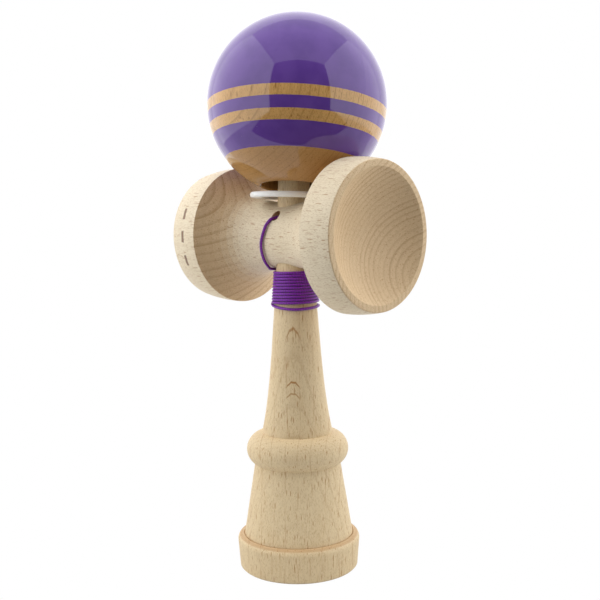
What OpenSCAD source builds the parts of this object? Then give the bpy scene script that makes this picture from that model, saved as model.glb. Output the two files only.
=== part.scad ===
// Kendama: a turned handle with a spike, a cross piece with two cups, a painted ball on a string.
// Millimetres. +Z is up along the handle, the origin is the middle of the handle's foot,
// +X points out of the big cup and -Y is the side that the string comes out of.

/* [Foot] */
// Radius of the foot where it meets the table
foot_r = 20.3; // [17:0.1:24]
// How far the foot ring stands out past the foot
ring_bulge = 0.7; // [0.5:0.1:2]
// Height of the foot ring
ring_h = 11.4; // [9:0.2:16]
// Radius of the round shoulder on top of the foot ring
ring_shoulder_r = 2; // [1:0.1:3.5]
// Small bevel around the underside of the foot
foot_bevel = 0.5; // [0.3:0.1:1.5]
// Depth of the groove between the foot ring and the grip
groove_depth = 0.3; // [0.3:0.1:2]
// Mouth radius of the cup in the foot
foot_cup_r = 16.8; // [14:0.2:18]

/* [Grip] */
// Radius of the grip under the collar
grip_top_r = 14.7; // [12:0.1:17]
// Height of the widest place of the collar
collar_z = 40.8; // [34:0.1:50]
// Widest radius of the collar
collar_r = 17.45; // [16:0.05:22]
// Radius of the collar's round section
collar_round = 5.7; // [4:0.1:8]

/* [Stem] */
// Radius of the stem at the collar
stem_foot_r = 12.1; // [10:0.1:14]
// Radius of the stem under the cross piece
stem_top_r = 6.25; // [5.9:0.05:8]
// Radius of the neck inside the cross piece and of the foot of the spike
spike_r = 5.6; // [4.5:0.05:5.8]
// Radius of the spike's round tip
spike_tip_r = 3.1; // [2:0.1:4]
// Height of the spike's tip above the table
handle_h = 160; // [152:1:164]

/* [Cross piece] */
// Height of the cross piece's axis
cross_z = 113.7; // [105:0.1:118]
// Radius of the waist
waist_r = 11.1; // [9:0.1:12]
// From the handle's axis to the big cup's rim
big_rim_x = 37.55; // [34:0.05:44]
// From the handle's axis to the edge behind the big cup's band
big_edge_x = 26.6; // [24:0.1:30]
// Radius of the edge behind the big cup's band
big_edge_r = 25; // [22:0.1:27]
// Outer radius of the big cup's rim
big_rim_r = 24; // [21:0.1:26]
// Mouth radius of the big cup
big_mouth_r = 21.7; // [18:0.1:22.5]
// From the handle's axis to the small cup's rim
small_rim_x = 37.6; // [34:0.05:44]
// From the handle's axis to the edge behind the small cup's band
small_edge_x = 25; // [22:0.1:29]
// Radius of the edge behind the small cup's band
small_edge_r = 23.6; // [20:0.1:26]
// Outer radius of the small cup's rim
small_rim_r = 22.4; // [19:0.1:25]
// Mouth radius of the small cup
small_mouth_r = 19.4; // [16:0.1:20.5]
// Radius of the round edge on the cup rims
rim_round = 0.5; // [0.2:0.1:0.8]

/* [Ball] */
// Radius of the ball
ball_r = 30; // [28:0.1:32]
// Play all round between the ball's hole and the foot of the spike
hole_play = 5; // [4.8:0.1:6]
// Radius of the rounded lip of the hole
lip_round = 0.7; // [0.3:0.1:1.2]
// Degrees that the ball leans back, towards +Y
lean_back = 8.9; // [0:0.1:10]
// Degrees that the ball leans sideways, towards -X
lean_side = 4.1; // [0:0.1:5]
// How far the ball's centre lies from the handle's axis, along X
ball_shift_x = 1.1; // [-1:0.1:1.5]
// How far the ball's centre lies from the handle's axis, along Y
ball_shift_y = 0.9; // [-1:0.1:1.5]
// Least thickness of the wood over the ball's hole
ball_roof = 6; // [4:0.5:9]
// Radius of the bead inside the ball
bead_r = 3.6; // [2.5:0.1:5]

/* [Spacer] */
// Thickness of the white spacer ring
spacer_h = 1.8; // [1:0.1:2]
// Width of the spacer's band, from its hole to its outside
spacer_w = 3.5; // [2:0.1:4]
// How far the spacer has slid towards -Y on the spike
spacer_shift = 3.1; // [0:0.1:3.5]
// Degrees that the spacer tips back
spacer_tip = 2.5; // [0:0.5:8]

/* [String] */
// Diameter of the string
string_d = 1.05; // [0.9:0.05:1.3]
// Whole turns and part of a turn in the winding on the stem
wind_turns = 7.875; // [3.875:1:7.875]
// Height between two turns
wind_pitch = 1.6; // [1.55:0.01:1.7]
// Height of the string hole above the cross piece's axis, as a share of the waist's radius
string_hole_share = 0.604; // [0.4:0.01:0.7]
// Radius of the string hole's mouth in the cross piece
string_hole_r = 1.65; // [1:0.05:2]
// Radius of the knot that anchors the string in the neck
anchor_knot_r = 1.5; // [1.2:0.1:1.8]
// Radius of the knot under the bead
bead_knot_r = 1.4; // [1:0.1:1.8]

/* [Clearances] */
// Gap all round the neck in the cross piece
neck_gap = 0.05; // [0.02:0.01:0.1]
// Gap between pieces that lie loosely on one another
loose_gap = 0.3; // [0.2:0.05:0.5]
// Height of the spacer ring over the flares of the cups
spacer_gap = 0.25; // [0.2:0.05:0.8]
// Height of the ball's lip over the spacer ring
ball_gap = 0.25; // [0.2:0.05:0.8]
// Gap between the string and the wood that it lies on
string_gap = 0.1; // [0.08:0.01:0.2]

/* [Hidden] */
$fn = 96;

// How far a cut runs past the face that it opens
overrun = 2;
// Steps in a curve that is drawn point by point
curve_steps = 14;
arc_steps = 6;
// Places round an edge where its seat is measured
seat_steps = 72;

// Points of a round stretch of an outline
function arc(centre, r, from, to) = [
    for (i = [0 : curve_steps])
        let (a = from + (to - from) * i / curve_steps)
        centre + r * [cos(a), sin(a)]
];

string_r = string_d / 2;
beech = [0.84, 0.74, 0.57];
purple = [0.29, 0.13, 0.50];

// Foot ring and the groove behind its shoulder
ring_r = foot_r + ring_bulge;
grip_foot_r = ring_r - ring_shoulder_r - groove_depth;

// Stem: mostly straight taper, with a flare where it meets the collar
stem_taper_share = 0.7;
stem_flare_power = 5;
collar_low = -acos((grip_top_r - collar_r + collar_round) / collar_round);
collar_high = acos((stem_foot_r - collar_r + collar_round) / collar_round);
stem_foot_z = collar_z + collar_round * sin(collar_high);
neck_seat_z = cross_z - sqrt(pow(waist_r, 2) - pow(stem_top_r, 2)) + loose_gap;
function stem_radius(z) =
    let (s = (neck_seat_z - z) / (neck_seat_z - stem_foot_z))
    stem_top_r + (stem_foot_r - stem_top_r)
        * (stem_taper_share * s + (1 - stem_taper_share) * pow(max(s, 0), stem_flare_power));

// Spike: a long taper that swells a little, then a round tip
spike_foot_z = cross_z + waist_r;
spike_round_z = handle_h - spike_tip_r;
spike_swell_power = 1.4;
function spike_radius(s) = spike_r + (spike_tip_r - spike_r) * pow(s, spike_swell_power);

// All the cups are hollowed to take the ball
cup_play = 1;
cup_r = ball_r + cup_play;
function cup_centre(mouth_r) = sqrt(pow(cup_r, 2) - pow(mouth_r, 2));

// Cross piece: flares that grow faster and faster from the waist, bands that round off to the rims
flare_power = 3.5;
band_power = 2.2;
function flare_radius(x, edge_x, edge_r) =
    waist_r + (edge_r - waist_r) * pow(x / edge_x, flare_power);
function flare_points(edge_x, edge_r) = [
    for (i = [1 : curve_steps])
        let (x = edge_x * i / curve_steps)
        [flare_radius(x, edge_x, edge_r), x]
];
function band_points(edge_x, edge_r, rim_x, rim_r) = [
    for (i = [1 : arc_steps])
        let (s = i / arc_steps)
        [edge_r - (edge_r - rim_r) * pow(s, band_power), edge_x + (rim_x - rim_round - edge_x) * s]
];
function rim_points(rim_x, rim_r) = [
    for (i = [1 : arc_steps])
        let (a = 90 * i / arc_steps)
        [rim_r - rim_round * (1 - cos(a)), rim_x - rim_round * (1 - sin(a))]
];
function half_outline(edge_x, edge_r, rim_x, rim_r) = concat(
    flare_points(edge_x, edge_r), band_points(edge_x, edge_r, rim_x, rim_r), rim_points(rim_x, rim_r)
);
function flipped(points) = [for (i = [len(points) - 1 : -1 : 0]) [points[i][0], -points[i][1]]];

// Spacer ring: it straddles the flares of both cups and hangs against the spike
spacer_hole_r = (spike_r + spacer_shift + loose_gap) / cos(spacer_tip) + spacer_h / 2 * tan(spacer_tip);
spacer_r = spacer_hole_r + spacer_w;
function flare_at(x) =
    x > 0 ? flare_radius(x, big_edge_x, big_edge_r) : flare_radius(-x, small_edge_x, small_edge_r);
spacer_seats = [
    for (k = [1 : seat_steps])
        let (
            a = 360 * k / seat_steps,
            y = spacer_r * sin(a) * cos(spacer_tip) - spacer_h / 2 * sin(spacer_tip) - spacer_shift,
            z = -spacer_r * sin(a) * sin(spacer_tip) - spacer_h / 2 * cos(spacer_tip)
        )
        sqrt(max(pow(flare_at(spacer_r * cos(a)), 2) - pow(y, 2), 0)) - z
];
spacer_z = cross_z + max(spacer_seats) + spacer_gap;
function spacer_top(y) = spacer_z + spacer_h / 2 / cos(spacer_tip) - (y + spacer_shift) * tan(spacer_tip);

// Ball: its axis leans, its low lip lies over the spacer ring, its sides clear the cups and its hole takes
// the spike with the bead and the knot over it
function leaned(v) =
    let (
        y = v[1] * cos(lean_back) + v[2] * sin(lean_back),
        z = v[2] * cos(lean_back) - v[1] * sin(lean_back)
    )
    [v[0] * cos(lean_side) - z * sin(lean_side), y, v[0] * sin(lean_side) + z * cos(lean_side)];
ball_axis = leaned([0, 0, 1]);
hole_r = spike_r + hole_play;
lip_r = hole_r + lip_round;
lip_plane = sqrt(pow(ball_r, 2) - pow(lip_r, 2));
lip_seats = [
    for (k = [1 : seat_steps])
        let (
            a = 360 * k / seat_steps,
            place = leaned([lip_r * cos(a), lip_r * sin(a), -lip_plane])
        )
        spacer_top(place[1] + ball_shift_y) - place[2]
];
tip_room = 1.5;
knot_touch = 0.05;
bead_stack = tip_room + 2 * bead_knot_r + knot_touch + 2 * bead_r + loose_gap;
ball_reach = ball_r + loose_gap;
function ball_over(edge_x, edge_r, shift) =
    cross_z + edge_r + sqrt(max(pow(ball_reach, 2) - pow(edge_x - shift, 2), 0));
ball_z = max(
    max(lip_seats) + ball_gap,
    handle_h - (ball_r - ball_roof - bead_stack) * ball_axis[2],
    ball_over(big_edge_x, big_edge_r, ball_shift_x),
    ball_over(small_edge_x, small_edge_r, -ball_shift_x)
);
ball_centre = [ball_shift_x, ball_shift_y, ball_z];
function on_axis(t) = ball_centre + ball_axis * t;

// Bead and knot: over the spike's tip, under the end of the ball's hole, on the ball's axis
spike_reach = (handle_h - ball_z) / ball_axis[2];
bead_knot_t = spike_reach + tip_room + bead_knot_r;
bead_t = bead_knot_t + bead_knot_r + knot_touch + bead_r;
hole_end_t = spike_reach + bead_stack;
string_bore_r = string_r + loose_gap;
pole_room = 0.2;
pole_t = ball_r + pole_room;

// A smooth path through the places, which ends along way
spline_steps = 3;
function unit(v) = v / norm(v);
function blend(a, b, c, d, t) = 0.5 * (
    2 * b + (c - a) * t + (2 * a - 5 * b + 4 * c - d) * pow(t, 2) + (3 * b - a - 3 * c + d) * pow(t, 3)
);
function spline(p, way) =
    let (
        last = len(p) - 1,
        after = p[last] + way * norm(p[last] - p[last - 1]),
        before = 2 * p[0] - p[1]
    )
    concat(
        [
            for (i = [0 : last - 1])
                for (k = [0 : spline_steps - 1])
                    blend(
                        i > 0 ? p[i - 1] : before, p[i], p[i + 1],
                        i < last - 1 ? p[i + 2] : after, k / spline_steps
                    )
        ],
        [p[last]]
    );

// String: knot in the neck, out of the cross piece, down to the winding, behind everything to the ball
string_z = cross_z + waist_r * string_hole_share;
knot_pocket_r = anchor_knot_r + loose_gap;
knot_y = spike_r - anchor_knot_r - neck_gap;
wind_start = 180;
wind_rings = 24;
wind_sides = 6;
cord_sides = 8;
wind_x = stem_top_r + string_d + string_gap;
wind_top_z = cross_z - flare_radius(wind_x, small_edge_x, small_edge_r) - string_r - string_gap;
wind_steps = round(wind_turns * wind_rings);
function wind_point(i) =
    let (
        turn = i / wind_rings,
        z = wind_top_z - wind_pitch * turn,
        a = wind_start - 360 * turn,
        r = stem_radius(z) + string_gap + string_r
    )
    [r * cos(a), r * sin(a), z];
function wind_way(i) = unit(wind_point(i + 1) - wind_point(i));
wind_first = wind_point(0) - wind_way(0) * string_d;
wind_last = wind_point(wind_steps) + wind_way(wind_steps - 1) * string_d;
wind_path = concat([wind_first], [for (i = [0 : wind_steps]) wind_point(i)], [wind_last]);

// Least gap between neighbouring turns, measured from point to point
wind_gaps = [
    for (i = [0 : wind_steps - wind_rings])
        for (j = [i + wind_rings / 2 : min(i + 2 * wind_rings, wind_steps)])
            norm(wind_point(i) - wind_point(j)) - string_d
];
echo(str("least gap of the winding to itself, mm: ", min(wind_gaps)));

// Places of the string between the neck and the winding, chosen by eye
lead_route = [
    [0, -3, 120.4], [0, -8.4, 120.4], [-0.3, -9.6, 119.95], [-0.95, -10.5, 119.1], [-2.4, -11.45, 116.7],
    [-3.6, -11.8, 113.4], [-4.5, -11.45, 110.55], [-5.2, -10.3, 107.65], [-6, -8.25, 104.9],
    [-7.1, -5, 102.5]
];
// Places of the string from the winding, up behind the cross piece and over the back of the ball
run_route = [
    [-9.2, -0.8, 90], [-9.6, 4, 93.5], [-8, 8.5, 99], [-5.5, 11.5, 105], [-3.5, 13.4, 113], [-3.2, 15, 122],
    [-5, 18.8, 131], [-8.3, 25.9, 140], [-9.8, 29.6, 150], [-10, 30.1, 160], [-8.7, 27.4, 171.3],
    [-6.1, 20, 180.9], [-3.5, 12.3, 185.9], [-2, 8.2, 187.5], [-1.4, 6.6, 187.7]
];
lead_path = spline(concat(
    [[0, knot_y - anchor_knot_r - knot_touch, string_z]], lead_route,
    [wind_first - wind_way(0) * (string_d + string_gap), wind_first - wind_way(0) * string_gap]
), wind_way(0));
run_path = spline(concat(
    [
        wind_last + wind_way(wind_steps - 1) * loose_gap,
        wind_last + wind_way(wind_steps - 1) * (string_d + loose_gap)
    ],
    run_route,
    [on_axis(pole_t + string_r), on_axis(pole_t)]
), -ball_axis);

// A tube of the string's thickness along a path: rings turned as little as possible from one to the next
function path_way(p, i) = unit(p[min(i + 1, len(p) - 1)] - p[max(i - 1, 0)]);
function any_normal(t) = unit(cross(t, abs(t[2]) < 0.9 ? [0, 0, 1] : [1, 0, 0]));
function path_normals(p) = [
    for (i = 0, n = any_normal(path_way(p, 0)); i < len(p);
        i = i + 1, n = unit(n - path_way(p, min(i, len(p) - 1)) * (n * path_way(p, min(i, len(p) - 1))))) n
];
module tube(path, r, sides) {
    normals = path_normals(path);
    rings = len(path);
    points = [
        for (i = [0 : rings - 1])
            let (t = path_way(path, i), n = normals[i], b = cross(t, n))
            for (k = [0 : sides - 1])
                path[i] + r * (n * cos(360 * k / sides) + b * sin(360 * k / sides))
    ];
    walls = [
        for (i = [0 : rings - 2])
            for (k = [0 : sides - 1])
                let (a = i * sides + k, b = i * sides + (k + 1) % sides)
                for (face = [[a, a + sides, b], [b, a + sides, b + sides]]) face
    ];
    end = (rings - 1) * sides;
    caps = [for (k = [1 : sides - 2]) for (face = [[0, k, k + 1], [end, end + k + 1, end + k]]) face];
    polyhedron(points = points, faces = concat(walls, caps));
}

// Handle, turned in one piece: foot ring, grip, collar, stem, neck and spike
module ken_handle() {
    shoulder = [ring_r - ring_shoulder_r, ring_h - ring_shoulder_r];
    color(beech)
    difference() {
        rotate_extrude()
            polygon(concat(
                [[0, 0], [foot_r - foot_bevel, 0], [foot_r, foot_bevel]],
                arc(shoulder, ring_shoulder_r, 0, 90),
                [[grip_foot_r, ring_h - groove_depth]],
                arc([collar_r - collar_round, collar_z], collar_round, collar_low, collar_high),
                [
                    for (i = [1 : curve_steps])
                        let (z = stem_foot_z + (neck_seat_z - stem_foot_z) * i / curve_steps)
                        [stem_radius(z), z]
                ],
                [[spike_r, neck_seat_z]],
                [
                    for (i = [0 : curve_steps])
                        let (s = i / curve_steps)
                        [spike_radius(s), spike_foot_z + (spike_round_z - spike_foot_z) * s]
                ],
                arc([0, spike_round_z], spike_tip_r, 90 / arc_steps, 90)
            ));
        translate([0, 0, -cup_centre(foot_cup_r)]) sphere(cup_r);
        translate([0, spike_r + overrun, string_z]) rotate([90, 0, 0])
            cylinder(r = string_bore_r, h = 2 * (spike_r + overrun));
        translate([0, spike_r + overrun, string_z]) rotate([90, 0, 0])
            cylinder(r = knot_pocket_r, h = overrun + neck_gap + 2 * anchor_knot_r);
    }
}

// Cross piece with a cup at each end, bored for the neck, with a seat for the stem and a string hole
module cross_piece() {
    under_waist_z = cross_z - waist_r - overrun;
    stem_seat_r = stem_radius(cross_z - waist_r) + neck_gap;
    color(beech)
    difference() {
        translate([0, 0, cross_z]) rotate([0, 90, 0]) rotate_extrude()
            polygon(concat(
                [[0, -small_rim_x]],
                flipped(half_outline(small_edge_x, small_edge_r, small_rim_x, small_rim_r)),
                [[waist_r, 0]],
                half_outline(big_edge_x, big_edge_r, big_rim_x, big_rim_r),
                [[0, big_rim_x]]
            ));
        translate([big_rim_x + cup_centre(big_mouth_r), 0, cross_z]) sphere(cup_r);
        translate([-small_rim_x - cup_centre(small_mouth_r), 0, cross_z]) sphere(cup_r);
        translate([0, 0, under_waist_z])
            cylinder(r = spike_r + neck_gap, h = 2 * (waist_r + overrun));
        translate([0, 0, under_waist_z])
            cylinder(r = stem_seat_r, h = neck_seat_z + neck_gap - under_waist_z);
        translate([0, 0, string_z]) rotate([90, 0, 0]) cylinder(r = string_hole_r, h = waist_r + overrun);
    }
}

// Ball, drilled from below for the spike and from its top for the string
module tama_ball() {
    under_ball = -ball_r - overrun;
    color(purple)
    translate(ball_centre) rotate([-lean_back, -lean_side, 0])
    difference() {
        sphere(ball_r);
        rotate_extrude()
            polygon(concat(
                [[0, under_ball], [lip_r + overrun, under_ball], [lip_r + overrun, -lip_plane - overrun]],
                [
                    for (i = [0 : arc_steps])
                        let (a = 90 * i / arc_steps)
                        [lip_r - lip_round * sin(a), -lip_plane + lip_round * (1 - cos(a))]
                ],
                [[hole_r, hole_end_t], [0, hole_end_t]]
            ));
        translate([0, 0, -ball_r]) cylinder(r = string_bore_r, h = 2 * ball_r + overrun);
    }
}

// Bead that the string pulls against the end of the ball's hole
module tama_bead() {
    color(beech)
    translate(on_axis(bead_t)) rotate([-lean_back, -lean_side, 0])
    difference() {
        sphere(bead_r);
        translate([0, 0, -bead_r - overrun])
            cylinder(r = string_r + string_gap, h = 2 * (bead_r + overrun));
    }
}

// White ring that lies loose round the foot of the spike
module spacer_ring() {
    edge_share = 0.25;
    edge = spacer_h * edge_share;
    half = spacer_h / 2;
    color("white")
    translate([0, -spacer_shift, spacer_z]) rotate([-spacer_tip, 0, 0])
    rotate_extrude()
        polygon([
            [spacer_hole_r, -half], [spacer_r - edge, -half], [spacer_r, edge - half],
            [spacer_r, half - edge], [spacer_r - edge, half], [spacer_hole_r, half]
        ]);
}

// Knot in the pocket of the neck
module string_anchor_knot() {
    color(purple) translate([0, knot_y, string_z]) sphere(anchor_knot_r);
}

// String from the anchor knot, out of the cross piece and down its waist
module string_lead() {
    color(purple) tube(lead_path, string_r, cord_sides);
}

// Turns of string on the stem, one unbroken tube
module string_winding() {
    color(purple) tube(wind_path, string_r, wind_sides);
}

// String from the winding to the top of the ball
module string_run() {
    color(purple) tube(run_path, string_r, cord_sides);
}

// Straight end of the string inside the ball, through the bead
module string_tail() {
    color(purple)
    translate(on_axis(bead_knot_t + bead_knot_r)) rotate([-lean_back, -lean_side, 0])
        cylinder(r = string_r, h = pole_t - loose_gap - bead_knot_t - bead_knot_r);
}

// Knot that holds the bead on the string
module string_bead_knot() {
    color(purple) translate(on_axis(bead_knot_t)) sphere(bead_knot_r);
}

ken_handle();
cross_piece();
tama_ball();
tama_bead();
spacer_ring();
string_anchor_knot();
string_lead();
string_winding();
string_run();
string_tail();
string_bead_knot();
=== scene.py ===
import math

import bpy
from mathutils import Matrix, Vector


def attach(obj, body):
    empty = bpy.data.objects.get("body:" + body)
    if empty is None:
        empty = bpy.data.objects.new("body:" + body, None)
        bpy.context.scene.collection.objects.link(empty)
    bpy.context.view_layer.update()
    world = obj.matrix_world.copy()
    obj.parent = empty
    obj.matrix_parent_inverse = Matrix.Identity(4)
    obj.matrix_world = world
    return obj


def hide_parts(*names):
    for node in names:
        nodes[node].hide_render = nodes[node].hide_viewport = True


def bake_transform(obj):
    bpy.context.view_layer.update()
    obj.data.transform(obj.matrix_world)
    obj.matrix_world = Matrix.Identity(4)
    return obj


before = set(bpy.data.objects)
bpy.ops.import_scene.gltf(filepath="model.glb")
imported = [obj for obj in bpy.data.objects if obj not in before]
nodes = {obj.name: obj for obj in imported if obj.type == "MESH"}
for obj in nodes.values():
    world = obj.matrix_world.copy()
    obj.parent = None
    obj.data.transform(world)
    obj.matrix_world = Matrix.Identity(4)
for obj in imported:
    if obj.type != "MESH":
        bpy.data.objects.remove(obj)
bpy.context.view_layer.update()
mm = 0.001
fullTurn = 2 * math.pi
skyward = Vector((0, 0, 1))
print("frame loaded,", len(nodes), "nodes")


def newObject(name, data):
    made = bpy.data.objects.new(name, data)
    bpy.context.scene.collection.objects.link(made)
    return made


# camera, worked out from the outlines in the photograph
shot = {
    "place": (0.2217, -0.22384, 0.12056),
    "swing": 44.45,  # degrees round from straight in front of the string hole
    "down": 5.22,
    "roll": -0.78,
    "lens": 55.8,
    "sensor": 36,
    "clip": 0.01,
}


def makeCamera():
    swing, down, roll = (math.radians(shot[name]) for name in ("swing", "down", "roll"))
    forward = Vector((
        -math.sin(swing) * math.cos(down),
        math.cos(swing) * math.cos(down),
        -math.sin(down),
    ))
    level = forward.cross(skyward).normalized()
    rise = level.cross(forward)
    right = level * math.cos(roll) + rise * math.sin(roll)
    top = rise * math.cos(roll) - level * math.sin(roll)
    turn = Matrix((right, top, -forward)).transposed()
    data = bpy.data.cameras.new("camera")
    data.lens = shot["lens"]
    data.sensor_width = shot["sensor"]
    data.clip_start = shot["clip"]
    camera = newObject("camera", data)
    camera.matrix_world = Matrix.Translation(shot["place"]) @ turn.to_4x4()
    bpy.context.scene.camera = camera


makeCamera()
print("camera made")


# shader maths: a wire is a node's output, and sums of wires add their nodes
class Wire:
    def __init__(self, bench, socket):
        self.bench = bench
        self.socket = socket

    def sum(self, operation, *values):
        return self.bench.node("ShaderNodeMath", {"operation": operation}, dict(enumerate(values)))

    def __add__(self, other):
        return self.sum("ADD", self, other)

    def __radd__(self, other):
        return self.sum("ADD", other, self)

    def __sub__(self, other):
        return self.sum("SUBTRACT", self, other)

    def __rsub__(self, other):
        return self.sum("SUBTRACT", other, self)

    def __mul__(self, other):
        return self.sum("MULTIPLY", self, other)

    def __rmul__(self, other):
        return self.sum("MULTIPLY", other, self)

    def __truediv__(self, other):
        return self.sum("DIVIDE", self, other)

    def __rtruediv__(self, other):
        return self.sum("DIVIDE", other, self)

    def __pow__(self, other):
        return self.sum("POWER", self, other)

    def __rpow__(self, other):
        return self.sum("POWER", other, self)

    def fraction(self):
        return self.sum("FRACT", self)

    def wave(self):
        return self.sum("SINE", self)

    def size(self):
        return self.sum("ABSOLUTE", self)


# the node tree of one finish, or of the surroundings
class Bench:
    def __init__(self, owner):
        self.owner = owner
        owner.use_nodes = True
        self.tree = owner.node_tree
        self.tree.nodes.clear()

    def node(self, kind, settings=None, inputs=None, output=0):
        made = self.tree.nodes.new(kind)
        for name, value in (settings or {}).items():
            setattr(made, name, value)
        for key, value in (inputs or {}).items():
            if isinstance(value, Wire):
                self.tree.links.new(value.socket, made.inputs[key])
            else:
                made.inputs[key].default_value = value
        return Wire(self, made.outputs[output]) if made.outputs else None

    def millimetres(self):
        place = self.node("ShaderNodeTexCoord", output="Object")
        return self.node("ShaderNodeVectorMath", {"operation": "SCALE"}, {0: place, "Scale": 1 / mm})

    def along(self, point, way):
        settings = {"operation": "DOT_PRODUCT"}
        return self.node("ShaderNodeVectorMath", settings, {0: point, 1: way}, "Value")

    def vector(self, x, y, z):
        return self.node("ShaderNodeCombineXYZ", None, {0: x, 1: y, 2: z})

    def vectorSum(self, operation, first, second):
        return self.node("ShaderNodeVectorMath", {"operation": operation}, {0: first, 1: second})

    def noise(self, point, scale, detail, roughness=0.5):
        inputs = {"Vector": point, "Scale": scale, "Detail": detail, "Roughness": roughness}
        return self.node("ShaderNodeTexNoise", None, inputs)

    def cells(self, point, scale, output):
        inputs = {"Vector": point, "Scale": scale}
        return self.node("ShaderNodeTexVoronoi", {"feature": "F1"}, inputs, output)

    def ramp(self, value, low, high):  # 0 up to low, 1 from high, soft between
        settings = {"interpolation_type": "SMOOTHSTEP"}
        return self.node("ShaderNodeMapRange", settings, {0: value, 1: low, 2: high})

    def blend(self, share, first, second, way="MIX"):
        settings = {"data_type": "RGBA", "blend_type": way}
        return self.node("ShaderNodeMix", settings, {0: share, 6: first, 7: second}, 2)

    def bump(self, height, depth, strength):
        inputs = {"Strength": strength, "Distance": depth * mm, "Height": height}
        return self.node("ShaderNodeBump", None, inputs)

    def surface(self, inputs):
        shader = self.node("ShaderNodeBsdfPrincipled", None, inputs)
        self.node("ShaderNodeOutputMaterial", None, {"Surface": shader})
        return self.owner

    def seen(self):  # 1 for what the camera, mirrors and glass look at, 0 for plain light
        names = ("Is Camera Ray", "Is Glossy Ray", "Is Transmission Ray")
        direct, mirrored, through = (self.node("ShaderNodeLightPath", output=name) for name in names)
        settings = {"operation": "ADD", "use_clamp": True}
        return self.node("ShaderNodeMath", settings, {0: direct + mirrored, 1: through})


def newFinish(name):
    return Bench(bpy.data.materials.new(name))


def colour(red, green, blue):  # screen values from 0 to 255, as light
    return tuple(((v / 255 + 0.055) / 1.055) ** 2.4 for v in (red, green, blue)) + (1,)


plainWhite = (1, 1, 1, 1)


# string: one braided cord, from the knot in the neck round the stem and over the back of the ball
string = {
    "thick": 0.96,
    "sides": 12,
    "step": 0.3,  # between rings of the tube
    "plait": 1.7,  # length of one braid repeat
    "strands": 3,
    "relief": 0.05,  # share of the radius that the braid stands out
    "lead": [
        (0, 2.5, 120.4), (-0.1, -3, 120.3), (-0.3, -6, 120.1), (-0.75, -8.5, 119.7),
        (-1.1, -9.9, 119.3), (-1.65, -10.8, 118.3), (-2.4, -11.45, 116.7), (-3.6, -11.8, 113.4),
        (-4.5, -11.45, 110.55), (-5.2, -10.3, 107.65), (-6, -8.25, 104.9), (-7.1, -5, 102.5),
    ],
    "leadSteps": 6,
    "run": [
        (-8.6, -2.4, 90.6), (-9.6, 3, 94), (-8.2, 8.2, 99.6), (-5.5, 11.5, 105), (-3.5, 13.4, 113),
        (-3.2, 15, 122), (-5, 18.8, 131), (-8.3, 25.9, 140), (-9.8, 29.6, 150), (-10, 30.1, 160),
        (-8.7, 27.4, 171.3), (-6.1, 20, 180.9), (-3.5, 12.3, 185.9), (-2, 8.2, 187.5),
        (-1.4, 6.6, 187.7),
    ],
    "runSteps": 8,
    "hole": (-1.1, -9.9, 119.3),
    "stemTopZ": 104.83,
    "stemTopR": 6.25,
    "stemTaper": 0.0702,
    "clear": 0.03,  # between the string and the stem
    "windTop": 101.8,
    "windLevel": 0.3,  # share of the first turn that runs level under the waist
    "windPitch": 1.0,
    "tightTurns": 10.875,
    "perTurn": 36,
    "loose": [(10.875, 91.22), (11.375, 89.9), (11.625, 89.35), (11.875, 90.2)],  # turn and height
    "woundLength": 0.59,
    "runLength": 0.151,
    "stretchFrom": (0, 0, 0.093),
    "stretchTo": (0, 0, 0.163),
    "knotSteps": 72,
    "knotDepth": 1.6,
    "neckKnot": {"centre": (0, 4.05, 120.4), "size": 0.95, "radius": 0.52},
    "beadKnot": {"size": 0.85, "radius": 0.5},
}
ball = {
    "centre": Vector((1.1, 0.9, 157.124)),
    "axis": Vector((-0.070637, 0.15471, 0.985431)),
    # along the axis from the centre: the unpainted bands, then the string and its knot
    "bare": [(-5.2, -1.75), (-12.25, -8.9), (-40, -19.3)],
    "stringTop": 30.2,
    "stringMiddle": 20,
    "stringEnd": 7.22,
    "knot": 5.82,
}


def onAxis(reach):
    return ball["centre"] + ball["axis"] * reach


def smooth(points, steps):
    points = [Vector(p) for p in points]
    ends = [2 * points[0] - points[1]] + points + [2 * points[-1] - points[-2]]
    line = []
    for a, b, c, d in zip(ends, ends[1:], ends[2:], ends[3:]):
        for i in range(steps):
            t = i / steps
            bend = (2 * a - 5 * b + 4 * c - d) * t**2 + (3 * b - a - 3 * c + d) * t**3
            line.append(0.5 * (2 * b + (c - a) * t + bend))
    return line + [points[-1]]


def evenly(points, step):
    reach = [0]
    for a, b in zip(points, points[1:]):
        reach.append(reach[-1] + (b - a).length)
    count = max(2, round(reach[-1] / step))
    tiny = 1e-9
    line = []
    k = 0
    for i in range(count + 1):
        want = reach[-1] * i / count
        while k < len(points) - 2 and reach[k + 1] < want:
            k += 1
        share = (want - reach[k]) / max(reach[k + 1] - reach[k], tiny)
        line.append(points[k].lerp(points[k + 1], share))
    return line, reach[-1]


def looseHeight(turn):
    for (fromTurn, low), (toTurn, high) in zip(string["loose"], string["loose"][1:]):
        if turn <= toTurn:
            t = (turn - fromTurn) / (toTurn - fromTurn)
            return low + (high - low) * t * t * (3 - 2 * t)
    return string["loose"][-1][1]


def windingPoints():
    points = []
    for i in range(round(string["loose"][-1][0] * string["perTurn"]) + 1):
        turn = i / string["perTurn"]
        tight = turn <= string["tightTurns"]
        fall = string["windPitch"] * max(turn - string["windLevel"], 0)
        z = string["windTop"] - fall if tight else looseHeight(turn)
        stem = string["stemTopR"] + string["stemTaper"] * (string["stemTopZ"] - z)
        r = stem + string["thick"] / 2 + string["clear"]
        angle = math.pi - fullTurn * turn
        points.append(Vector((r * math.cos(angle), r * math.sin(angle), z)))
    return points


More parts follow.
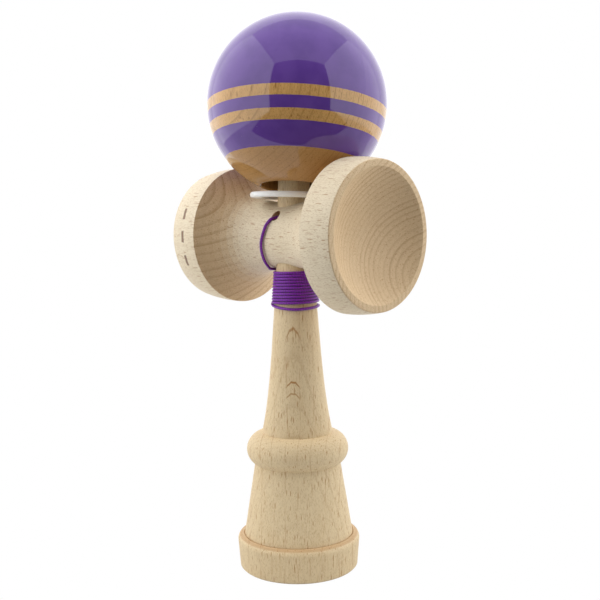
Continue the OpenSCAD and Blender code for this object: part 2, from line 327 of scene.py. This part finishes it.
def tube(name, line, radius, plaited):
    sides = string["sides"]
    strands = string["strands"]
    ways = [(b - a).normalized() for a, b in zip(line, line[1:])]
    ways = [ways[0]] + [(a + b).normalized() for a, b in zip(ways, ways[1:])] + [ways[-1]]
    side = ways[0].orthogonal().normalized()
    spots, faces, charts = [], [], []
    reach = 0
    for i, (spot, way) in enumerate(zip(line, ways)):
        side = (side - way * side.dot(way)).normalized()
        other = way.cross(side)
        reach += (spot - line[i - 1]).length if i else 0
        twist = fullTurn * reach / string["plait"]
        for k in range(sides):
            a = fullTurn * k / sides
            weave = math.cos(strands * a + twist) * math.cos(strands * a - twist)
            lift = string["relief"] * weave if plaited else 0
            outward = side * math.cos(a) + other * math.sin(a)
            spots.append((spot + outward * radius * (1 + lift)) * mm)
    for i in range(len(line) - 1):
        for k in range(sides):
            n = (k + 1) % sides
            faces.append((i * sides + k, i * sides + n, (i + 1) * sides + n, (i + 1) * sides + k))
            charts.append(((i, k), (i, k + 1), (i + 1, k + 1), (i + 1, k)))
    faces.append(tuple(reversed(range(sides))))
    faces.append(tuple((len(line) - 1) * sides + k for k in range(sides)))
    mesh = bpy.data.meshes.new(name)
    mesh.from_pydata(spots, [], faces)
    chart = mesh.uv_layers.new(name="alongAndRound")
    step = (line[1] - line[0]).length
    for face, corners in zip(mesh.polygons, charts):
        for corner, (i, k) in zip(face.loop_indices, corners):
            chart.data[corner].uv = (i * step / string["plait"], k / sides)
    mesh.polygons.foreach_set("use_smooth", [True] * len(mesh.polygons))
    made = newObject(name, mesh)
    return made


def knot(name, centre, size, radius):  # an overhand knot, closed up tight
    line = []
    for i in range(string["knotSteps"] + 1):
        t = fullTurn * i / string["knotSteps"]
        loop = Vector((
            math.sin(t) + 2 * math.sin(2 * t),
            math.cos(t) - 2 * math.cos(2 * t),
            -string["knotDepth"] * math.sin(3 * t),
        ))
        line.append(Vector(centre) + loop * size / 3)
    return tube(name, line, radius, False)


winding = windingPoints()
overTop = string["thick"] / 2 + ball["stringTop"]
tail = [onAxis(reach) for reach in (overTop, ball["stringTop"], ball["stringMiddle"], ball["stringEnd"])]
leadPoints = smooth(string["lead"], string["leadSteps"])
runPoints = smooth(winding[-2:] + string["run"] + tail, string["runSteps"])
woundLine, woundReach = evenly(leadPoints + winding[1:], string["step"])
runLine, runReach = evenly(runPoints[string["runSteps"]:], string["step"])
stringWound = tube("string_wound", woundLine, string["thick"] / 2, True)
stringRun = tube("string_to_ball", runLine, string["thick"] / 2, True)
neckKnot = knot("string_neck_knot", **string["neckKnot"])
beadKnot = knot("string_bead_stop", onAxis(ball["knot"]), **string["beadKnot"])
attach(stringWound, "ken")
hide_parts("string_lead", "string_winding")
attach(neckKnot, "ken")
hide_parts("string_anchor_knot")
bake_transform(stringRun)
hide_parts("string_run", "string_tail")
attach(beadKnot, "bead")
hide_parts("string_bead_knot")
[p * mm for p in woundLine]
runLine[0] * mm
[p * mm for p in runLine]
print("string made, wound mm:", round(woundReach, 1), "to the ball mm:", round(runReach, 1))


# beech: growth layers, fibres, pores and ray flecks, from a point in millimetres
# drift, vary, fibres and pores are noise steps per millimetre, across the grain and along it
# a span is where a mark begins and where it is full
beech = {
    "pale": colour(229, 208, 169),
    "late": colour(178, 140, 98),
    "streak": colour(210, 182, 136),
    "fleck": colour(170, 114, 54),
    "pore": colour(180, 148, 104),
    "layer": 1.8,  # between growth layers
    "ringShare": 0.3,
    "ringFrom": 0.72,  # share of a layer where its dark line begins
    "ringFull": 0.94,
    "ringFade": 0.95,
    "drift": (0.06, 0.014),
    "driftBy": 0.9,
    "vary": (0.35, 0.004),
    "varyOffset": 0.5,
    "varySpan": (0.3, 0.7),
    "faintest": 0.25,
    "fibres": (2.6, 0.11),
    "fibreSpan": (0.42, 0.75),
    "fibreShare": 0.55,
    "pores": (5, 1.1),
    "poreSpan": (0.54, 0.66),
    "poreShare": 0.5,
    "flecks": (1, 0.7, 6),  # spacing across the layers, round them and along the grain
    "fleckPick": (0.6, 0.4, 0),
    "fleckPickSpan": (0.2, 0.75),
    "fleckSpan": (0.14, 0.3),
    "fleckShare": 0.72,
    "cloud": 0.05,
    "cloudSpan": (0.45, 0.8),
    "cloudShare": 0.35,
    "relief": {"fibre": 0.35, "fleck": 0.1, "pore": 0.3},
}


def wood(bench, point, look, along, towards, pith, ringPoint=None):
    along = Vector(along).normalized()
    towards = Vector(towards)
    towards = (towards - along * towards.dot(along)).normalized()
    beside = along.cross(towards)
    across = bench.along(point, towards) + pith
    side = bench.along(point, beside)
    length = bench.along(point, along)

    def grainNoise(name, detail, roughness=0.5):
        wide, tall = look[name]
        place = bench.vector(across * wide, side * wide, length * tall)
        return bench.noise(place, 1, detail, roughness)

    ringAcross = bench.along(ringPoint or point, towards) + pith
    ringSide = bench.along(ringPoint or point, beside)
    fromPith = (ringAcross * ringAcross + ringSide * ringSide) ** 0.5
    radius = fromPith + (grainNoise("drift", 2) - 0.5) * look["driftBy"]
    phase = (radius / look["layer"]).fraction()
    fading = bench.ramp(phase, look["ringFade"], 1)
    late = bench.ramp(phase, look["ringFrom"], look["ringFull"]) * (1 - fading)
    varyWide, varyTall = look["vary"]
    varyPlace = bench.vector(radius * varyWide, look["varyOffset"], length * varyTall)
    vary = bench.ramp(bench.noise(varyPlace, 1, 1), *look["varySpan"])
    ringed = late * (look["faintest"] + (1 - look["faintest"]) * vary) * look["ringShare"]
    fibre = grainNoise("fibres", 4, 0.6)
    pores = bench.ramp(grainNoise("pores", 2), *look["poreSpan"])
    deep, wide, tall = look["flecks"]
    cell = bench.vector(across / deep, side / wide, length / tall)
    near = bench.cells(cell, 1, "Distance")
    kind = bench.cells(cell, 1, "Color")
    chosen = bench.ramp(bench.along(kind, look["fleckPick"]), *look["fleckPickSpan"])
    fleck = (1 - bench.ramp(near, *look["fleckSpan"])) * chosen
    cloud = bench.ramp(bench.noise(point, look["cloud"], 3), *look["cloudSpan"])
    streaked = bench.ramp(fibre, *look["fibreSpan"])
    tone = bench.blend(ringed, look["pale"], look["late"])
    tone = bench.blend(streaked * look["fibreShare"], tone, look["streak"])
    tone = bench.blend(cloud * look["cloudShare"], tone, look["streak"])
    tone = bench.blend(pores * look["poreShare"], tone, look["pore"])
    tone = bench.blend(fleck * look["fleckShare"], tone, look["fleck"])
    relief = look["relief"]
    height = fibre * relief["fibre"] - fleck * relief["fleck"] - pores * relief["pore"]
    return {"tone": tone, "height": height, "fibre": fibre, "fromPith": fromPith, "side": side}


rawWood = {"rough": 0.5, "roughVary": 0.16, "gloss": 0.35, "depth": 0.06, "strength": 0.5}


def rawSurface(bench, tone, grain):
    return bench.surface({
        "Base Color": tone,
        "Roughness": rawWood["rough"] + grain["fibre"] * rawWood["roughVary"],
        "Specular IOR Level": rawWood["gloss"],
        "Normal": bench.bump(grain["height"], rawWood["depth"], rawWood["strength"]),
    })


handle = {
    "grain": (0, 0, 1),
    "towards": (0.6, -0.8, 0),
    "pith": 22,
    # the groove above the foot ring is painted darker: partly dirt in it, partly painted shade in the
    # recess
    "groove": 11.1,
    "grooveHalf": (0.1, 0.55),
    "grooveDirtAndShadeShare": 0.45,
    "arcs": ((7.79, 0.7), (9.28, 0.9), (9.7, 0.65)),  # lines that the taper cuts: depth and strength
    "arcHalf": (0.0102, 0.0578),
    "arcFade": (1.5, 2.9),
    "arcRise": (48, 51),
    "seam": 4.3,  # between fine upright lines
    "seamHalf": (0.0135, 0.045),
    "seamShare": 0.35,
    "wander": (0.15, 0.03),
    "wanderBy": 2.5,
    "broken": (0.4, 0.16),
    "brokenOffset": 3,
    "brokenSpan": (0.4, 0.6),
}


def handleFinish():
    bench = newFinish("raw_beech_handle")
    point = bench.millimetres()
    grain = wood(bench, point, beech, handle["grain"], handle["towards"], handle["pith"])
    side = grain["side"]
    level = bench.along(point, (0, 0, 1))

    def sideNoise(name, offset, detail):
        wide, tall = handle[name]
        return bench.noise(bench.vector(side * wide, offset, level * tall), 1, detail)

    # dark line in the groove: partly dirt, partly painted shade
    groove = 1 - bench.ramp((level - handle["groove"]).size(), *handle["grooveHalf"])
    tone = bench.blend(groove * handle["grooveDirtAndShadeShare"], grain["tone"], beech["fleck"])
    wander = (sideNoise("wander", 0, 1) - 0.5) * handle["wanderBy"]
    across = ((side + wander) / handle["seam"]).fraction()
    seam = 1 - bench.ramp((across - 0.5).size(), *handle["seamHalf"])
    broken = bench.ramp(sideNoise("broken", handle["brokenOffset"], 2), *handle["brokenSpan"])
    tone = bench.blend(seam * broken * handle["seamShare"], tone, beech["fleck"])
    onStem = bench.ramp(level, *handle["arcRise"]) * (1 - bench.ramp(side.size(), *handle["arcFade"]))
    for depth, strength in handle["arcs"]:
        apart = (grain["fromPith"] - (handle["pith"] + depth)).size()
        line = 1 - bench.ramp(apart, *handle["arcHalf"])
        tone = bench.blend(line * onStem * strength, tone, beech["fleck"])
    return rawSurface(bench, tone, grain)


crossLook = dict(
    beech, pale=colour(239, 225, 198), streak=colour(218, 200, 168),
    ringFrom=0.5, layer=1.9, flecks=(0.65, 0.6, 6),
)
cross = {
    "grain": (1, 0.02, -0.03),
    "towards": (0, 0.78, -0.62),
    "pith": 32,
    "centre": (0, 0, 113.7),
    "pithShift": (-57, 40),  # y and z, which take the pith behind and below the big cup
    "shiftSpan": (4, 24),
    "layerWiden": 0.6,  # how much wider the layers are on the small cup's side
    "ringShares": (0.08, 0.42),  # with the grain, and what cutting across it adds
    "endSpan": (0.3, 0.8),
    "endTone": colour(240, 222, 198),
    "endShare": 0.85,
    "bars": (7.9, 0, -8.4),  # plain burned bars, along the small cup's band from its middle
    "barPlace": -31.2,
    "barHalf": (0.5, 1.8),
    "barSoft": (0.35, 0.3),
    "bandRadius": 23.2,
    "bandInside": (2, 1.6),
    "ragged": 1.6,
    "raggedBy": 0.5,
    "burn": colour(104, 56, 24),
    "burnShare": 0.8,
}


def crossFinish():
    bench = newFinish("raw_beech_cross")
    point = bench.millimetres()
    own = bench.vectorSum("SUBTRACT", point, cross["centre"])
    along = bench.along(own, (1, 0, 0))
    shift = bench.ramp(along, *cross["shiftSpan"])
    shiftY, shiftZ = cross["pithShift"]
    moved = bench.vectorSum("ADD", own, bench.vector(0, shift * shiftY, shift * shiftZ))
    facing = bench.node("ShaderNodeNewGeometry", output="Normal")
    endGrain = bench.ramp(bench.along(facing, (1, 0, 0)).size(), *cross["endSpan"])
    least, added = cross["ringShares"]
    widen = cross["layerWiden"]
    layer = crossLook["layer"] * (1 + widen - widen * shift)
    look = dict(crossLook, ringShare=least + endGrain * added, layer=layer)
    grain = wood(bench, own, look, cross["grain"], cross["towards"], cross["pith"], moved)
    tone = bench.blend(endGrain * cross["endShare"], grain["tone"], cross["endTone"], "MULTIPLY")
    rise = bench.along(own, (0, 0, 1))
    front = bench.along(own, (0, -1, 0))
    angle = bench.node("ShaderNodeMath", {"operation": "ARCTAN2"}, {0: rise, 1: front})
    upBand = angle * cross["bandRadius"]
    halfLong, halfWide = cross["barHalf"]
    softLong, softWide = cross["barSoft"]
    ragged = (bench.noise(point, cross["ragged"], 2) - 0.5) * cross["raggedBy"]
    beside = (along - cross["barPlace"]).size()
    fromMiddle = (rise * rise + front * front) ** 0.5
    outside = bench.ramp(fromMiddle, *(cross["bandRadius"] - inside for inside in cross["bandInside"]))
    onBand = (1 - bench.ramp(beside + ragged, halfLong, halfLong + softLong)) * outside
    burned = 0
    for place in cross["bars"]:
        apart = (upBand - place).size() + ragged
        burned = burned + (1 - bench.ramp(apart, halfWide, halfWide + softWide)) * onBand
    tone = bench.blend(burned * cross["burnShare"], tone, cross["burn"])
    return rawSurface(bench, tone, grain)


lacquered = dict(
    beech, pale=colour(214, 168, 104), late=colour(150, 106, 58), streak=colour(176, 134, 80),
    fleck=colour(140, 92, 46), pore=colour(156, 108, 56), ringShare=0.5, layer=1.9,
)
paint = {
    "purple": colour(105, 72, 156),
    "deep": colour(95, 63, 146),
    "dust": colour(170, 160, 190),
    "towards": (-0.71, -0.7, 0),
    "pith": 34,
    "waver": 0.8,  # of the paint's edges
    "waverBy": 0.16,
    "edgeHalf": 0.06,
    # painted shade: the bare wood at the bottom of the ball is blended darker from here down
    "paintedShadeBelowSpan": (-20, -13),
    "paintedShadeBelowShare": 0.5,
    "cloud": 0.12,
    "cloudSpan": (0.35, 0.7),
    "specks": 0.16,
    "speckSpan": (0.012, 0.022),
    "speckShare": 0.7,
    "peel": 0.9,
    "relief": {"paint": 0.5, "peel": 0.12, "wood": 0.2},
    "rough": 0.3,
    "roughBare": 0.15,
    "coat": {"Coat Weight": 1.0, "Coat Roughness": 0.02, "Coat IOR": 1.49},
    "depth": 0.02,
    "strength": 0.35,
}


def ballFinish():
    bench = newFinish("lacquered_ball")
    point = bench.millimetres()
    grain = wood(bench, point, lacquered, ball["axis"], paint["towards"], paint["pith"])
    own = bench.vectorSum("SUBTRACT", point, ball["centre"])
    waver = (bench.noise(point, paint["waver"], 2) - 0.5) * paint["waverBy"]
    level = bench.along(own, ball["axis"]) + waver
    # painted shade on the ball's underside, darker towards the bottom
    paintedShadeBelow = 1 - bench.ramp(level, *paint["paintedShadeBelowSpan"])
    tone = bench.blend(paintedShadeBelow * paint["paintedShadeBelowShare"], grain["tone"], lacquered["late"])
    soft = paint["edgeHalf"]
    painted = 1
    for low, high in ball["bare"]:
        above = bench.ramp(level, low - soft, low + soft)
        below = 1 - bench.ramp(level, high - soft, high + soft)
        painted = painted * (1 - above * below)
    cloud = bench.ramp(bench.noise(point, paint["cloud"], 3), *paint["cloudSpan"])
    purple = bench.blend(cloud, paint["purple"], paint["deep"])
    specks = 1 - bench.ramp(bench.cells(point, paint["specks"], "Distance"), *paint["speckSpan"])
    purple = bench.blend(specks * paint["speckShare"], purple, paint["dust"])
    peel = bench.noise(point, paint["peel"], 2)
    relief = paint["relief"]
    bareHeight = (1 - painted) * grain["height"]
    height = painted * relief["paint"] + peel * relief["peel"] + bareHeight * relief["wood"]
    return bench.surface({
        "Base Color": bench.blend(painted, tone, purple),
        "Roughness": paint["rough"] + (1 - painted) * paint["roughBare"],
        "Specular IOR Level": 0.0,
        **paint["coat"],
        "Normal": bench.bump(height, paint["depth"], paint["strength"]),
    })


bead = {"towards": (1, 0, 0), "pith": 20, "rough": 0.4, "roughVary": 0.2, "depth": 0.04, "strength": 0.4}


def beadFinish():
    bench = newFinish("beech_bead")
    point = bench.millimetres()
    grain = wood(bench, point, lacquered, ball["axis"], bead["towards"], bead["pith"])
    return bench.surface({
        "Base Color": grain["tone"],
        "Roughness": bead["rough"] + grain["fibre"] * bead["roughVary"],
        "Normal": bench.bump(grain["height"], bead["depth"], bead["strength"]),
    })


ring = {
    "white": colour(250, 250, 249),
    "worn": colour(230, 229, 226),
    "scuff": (0.35, 0.35, 2),
    "wornSpan": (0.5, 0.8),
    "wornShare": 0.6,
    "fine": 3.5,
    "rough": 0.34,
    "roughWorn": 0.2,
    "depth": 0.02,
    "strength": 0.4,
    "glow": 0.05,
}


def ringFinish():
    bench = newFinish("white_ring")
    point = bench.millimetres()
    scuff = bench.noise(bench.vectorSum("MULTIPLY", point, ring["scuff"]), 1, 4, 0.6)
    fine = bench.noise(point, ring["fine"], 2)
    worn = bench.ramp(scuff, *ring["wornSpan"])
    return bench.surface({
        "Base Color": bench.blend(worn * ring["wornShare"], ring["white"], ring["worn"]),
        "Roughness": ring["rough"] + worn * ring["roughWorn"],
        "Normal": bench.bump(fine * 0.5 + scuff * 0.5, ring["depth"], ring["strength"]),
        "Subsurface Weight": ring["glow"],
    })


braid = {
    "violet": colour(134, 20, 182),
    # shade is painted shade in the braid's hollows, sheen is a painted highlight on the strands
    "shade": colour(44, 4, 64),
    "sheen": colour(186, 118, 224),
    "round": 2,  # braid repeats round the string
    "plaitSpan": (-1.3, 0.6),
    "strand": 1.5,
    "strandSlant": (0.5, 1.5, 4),
    "strandSpan": (0.52, 0.78),
    "strandHighlightShare": 0.45,
    "rough": 0.36,
    "roughVary": 0.2,
    "fuzz": {"Sheen Weight": 0.08, "Sheen Roughness": 0.4},
    "relief": {"plait": 0.7, "strand": 0.3},
    "depth": 0.04,
    "strength": 0.6,
}


def stringFinish():
    bench = newFinish("braided_string")
    chart = bench.node("ShaderNodeTexCoord", output="UV")
    reach = bench.along(chart, (1, 0, 0)) * fullTurn
    turn = bench.along(chart, (0, 1, 0)) * (braid["round"] * fullTurn)
    plait = (turn + reach).wave() * (turn - reach).wave()
    byReach, byTurn, beside = braid["strandSlant"]
    place = bench.vector(reach * byReach + turn * byTurn, turn * beside, 0)
    strand = bench.noise(place, braid["strand"], 3, 0.6)
    # painted shade between the braid's strands, then painted highlights along them
    tone = bench.blend(bench.ramp(plait, *braid["plaitSpan"]), braid["shade"], braid["violet"])
    strandHighlight = bench.ramp(strand, *braid["strandSpan"])
    tone = bench.blend(strandHighlight * braid["strandHighlightShare"], tone, braid["sheen"])
    height = plait * braid["relief"]["plait"] + strand * braid["relief"]["strand"]
    return bench.surface({
        "Base Color": tone,
        "Roughness": braid["rough"] + strand * braid["roughVary"],
        **braid["fuzz"],
        "Normal": bench.bump(height, braid["depth"], braid["strength"]),
    })


def wear(piece, finish):
    piece.data.materials.clear()
    piece.data.materials.append(finish)


wear(nodes["ken_handle"], handleFinish())
wear(nodes["cross_piece"], crossFinish())
wear(nodes["tama_ball"], ballFinish())
wear(nodes["tama_bead"], beadFinish())
wear(nodes["spacer_ring"], ringFinish())
cordFinish = stringFinish()
for piece in (stringWound, stringRun, neckKnot, beadKnot):
    wear(piece, cordFinish)
print("finishes made:", len(bpy.data.materials))


# light tent: two side walls, a ceiling and a back wall round the toy, open towards the camera
tent = {
    "left": 0.235,
    "right": 0.31,
    "front": 0.36,
    "back": 0.2,
    "ceiling": 0.556,
    "forward": -0.06,  # how much further the ceiling comes forward
    "sill": 0.06,  # the side walls begin this high
    "bright": {"left": 1.02, "right": 0.95, "ceiling": 1.0, "back": 0.5},
    "around": 0.72,
}
swing = math.radians(shot["swing"])
toCamera = Vector((math.sin(swing), -math.cos(swing), 0))
toRight = Vector((math.cos(swing), math.sin(swing), 0))


def panel(name, centre, wide, tall, facing, upright):
    data = bpy.data.lights.new(name, "AREA")
    data.shape = "RECTANGLE"
    data.size = wide
    data.size_y = tall
    data.energy = tent["bright"][name] * math.pi * wide * tall
    made = newObject("tent_" + name, data)
    back = -facing.normalized()
    right = upright.cross(back).normalized()
    turn = Matrix((right, back.cross(right), back)).transposed()
    made.matrix_world = Matrix.Translation(centre) @ turn.to_4x4()
    made.visible_camera = False
    made.visible_glossy = name != "ceiling"  # the lacquer mirrors the walls more than the ceiling


def makeTent():
    deep = tent["front"] + tent["back"]
    wide = tent["left"] + tent["right"]
    tall = tent["ceiling"] - tent["sill"]
    half = skyward * tent["ceiling"] / 2
    middle = toCamera * (tent["front"] - tent["back"]) / 2
    across = toRight * (tent["right"] - tent["left"]) / 2
    ahead = toCamera * tent["forward"] / 2
    centre = middle + skyward * (tent["sill"] + tall / 2)
    above = middle + ahead + across + 2 * half
    behind = across - toCamera * tent["back"] + half
    panel("left", centre - toRight * tent["left"], deep, tall, toRight, skyward)
    panel("right", centre + toRight * tent["right"], deep, tall, -toRight, skyward)
    panel("ceiling", above, wide, deep + tent["forward"], -skyward, toCamera)
    panel("back", behind, wide, tent["ceiling"], toCamera, skyward)


def stageSheet(name, corners, finish):
    mesh = bpy.data.meshes.new(name)
    mesh.from_pydata(corners, [], [(0, 1, 2, 3)])
    mesh.materials.append(finish)
    made = newObject(name, mesh)
    return made


# dark cards for the lacquer to mirror, out of the camera's sight: behind it, and on the floor
card = {
    "reach": 0.8,
    "near": 0.12,
    "left": 0.52,
    "right": 0.69,
    "top": 1.05,
    "grey": colour(12, 11, 14),
    "rough": 0.9,
}


def makeCards():
    bench = newFinish("dark_card")
    dark = bench.surface({
        "Base Color": card["grey"], "Roughness": card["rough"], "Specular IOR Level": 0.0,
    })
    reach, near, low = toCamera * card["reach"], toCamera * card["near"], skyward * mm
    left, right, top = toRight * -card["left"], toRight * card["right"], skyward * card["top"]
    behindCamera = [reach + left, reach + right, reach + right + top, reach + left + top]
    onFloor = [near + left / 2 + low, near + right / 2 + low, reach + right + low, reach + left + low]
    stageSheet("card_behind_camera", behindCamera, dark).visible_camera = False
    stageSheet("card_on_floor", onFloor, dark).visible_camera = False


floor = {"half": 2.0, "white": (0.7, 0.7, 0.7, 1)}


def floorFinish():
    bench = newFinish("white_floor")
    plain = bench.node("ShaderNodeBsdfDiffuse", None, {"Color": floor["white"]})
    shown = bench.node("ShaderNodeEmission", None, {"Color": plainWhite, "Strength": 1})
    mixed = bench.node("ShaderNodeMixShader", None, {0: bench.seen(), 1: plain, 2: shown})
    bench.node("ShaderNodeOutputMaterial", None, {"Surface": mixed})
    return bench.owner


def makeSurroundings():
    world = bpy.data.worlds.new("white_room")
    bpy.context.scene.world = world
    bench = Bench(world)
    around, white = (
        bench.node("ShaderNodeBackground", None, {"Color": plainWhite, "Strength": strength})
        for strength in (tent["around"], 1)
    )
    mixed = bench.node("ShaderNodeMixShader", None, {0: bench.seen(), 1: around, 2: white})
    bench.node("ShaderNodeOutputWorld", None, {"Surface": mixed})
    reach = floor["half"]
    corners = [Vector((x * reach, y * reach, 0)) for x, y in ((-1, -1), (1, -1), (1, 1), (-1, 1))]
    stageSheet("floor", corners, floorFinish())


makeSurroundings()
makeTent()
makeCards()
bpy.context.scene.view_settings.view_transform = "Standard"
print("tent and floor made")
